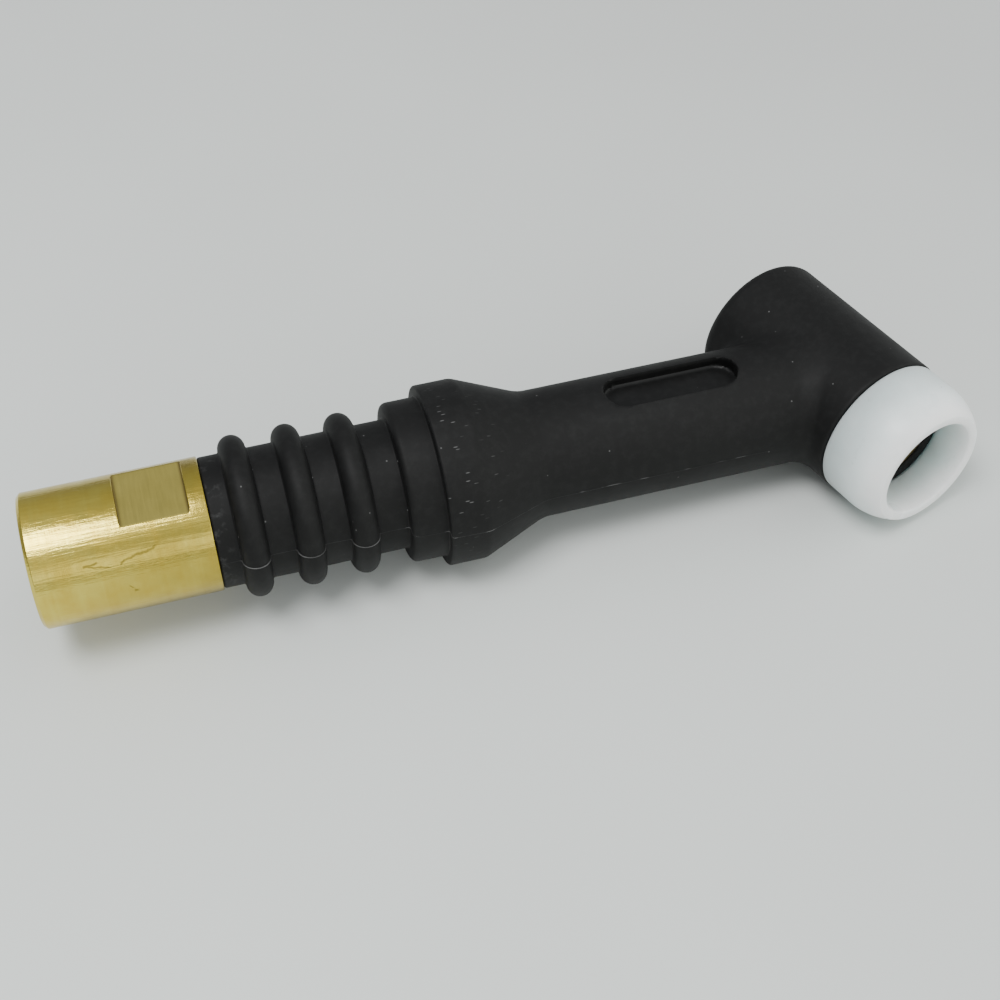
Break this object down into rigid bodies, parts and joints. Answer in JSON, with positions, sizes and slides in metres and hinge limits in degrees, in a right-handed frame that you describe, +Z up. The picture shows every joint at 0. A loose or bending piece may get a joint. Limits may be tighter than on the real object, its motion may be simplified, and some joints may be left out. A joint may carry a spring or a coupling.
{
  "type": "tig torch body",
  "caption": "Air-cooled TIG welding torch body: angled head with a white cup gasket, black rubber jacket with a flare and ribbed stem, and a brass cable adapter.",
  "frame": {"origin": "where the handle axis meets the head axis, in the middle of the collet bore of the head core", "axes": "The handle runs from the origin towards -X; the cup end of the head points towards -Y and 18 degrees towards +X; +Z is up with the torch lying on its side, and Z = 0 is the plane of symmetry and of the jacket's mould parting"},
  "size_m": [0.1364, 0.0431, 0.0266],
  "materials": {
    "black_rubber": "matte moulded, with a fine mould parting line",
    "white_ptfe": "smooth satin fluoropolymer",
    "core_brass": "machined, dulled",
    "tube_copper": "drawn copper",
    "braze_alloy": "solidified silver braze",
    "adapter_brass": "turned, with milled satin flats"
  },
  "bodies": {
    "torch_body": {"rubber_jacket": "black_rubber", "head_core": "core_brass", "gas_tube": "tube_copper", "head_braze": "braze_alloy", "adapter_braze": "braze_alloy", "cable_adapter": "adapter_brass"},
    "gasket": {"cup_gasket": "white_ptfe"}
  },
  "joints": [
    {"name": "gasket_pull_off", "type": "slide", "parent": "torch_body", "child": "gasket", "axis": [0.309, -0.9511, 0], "range_m": [0, 0.01]}
  ]
}
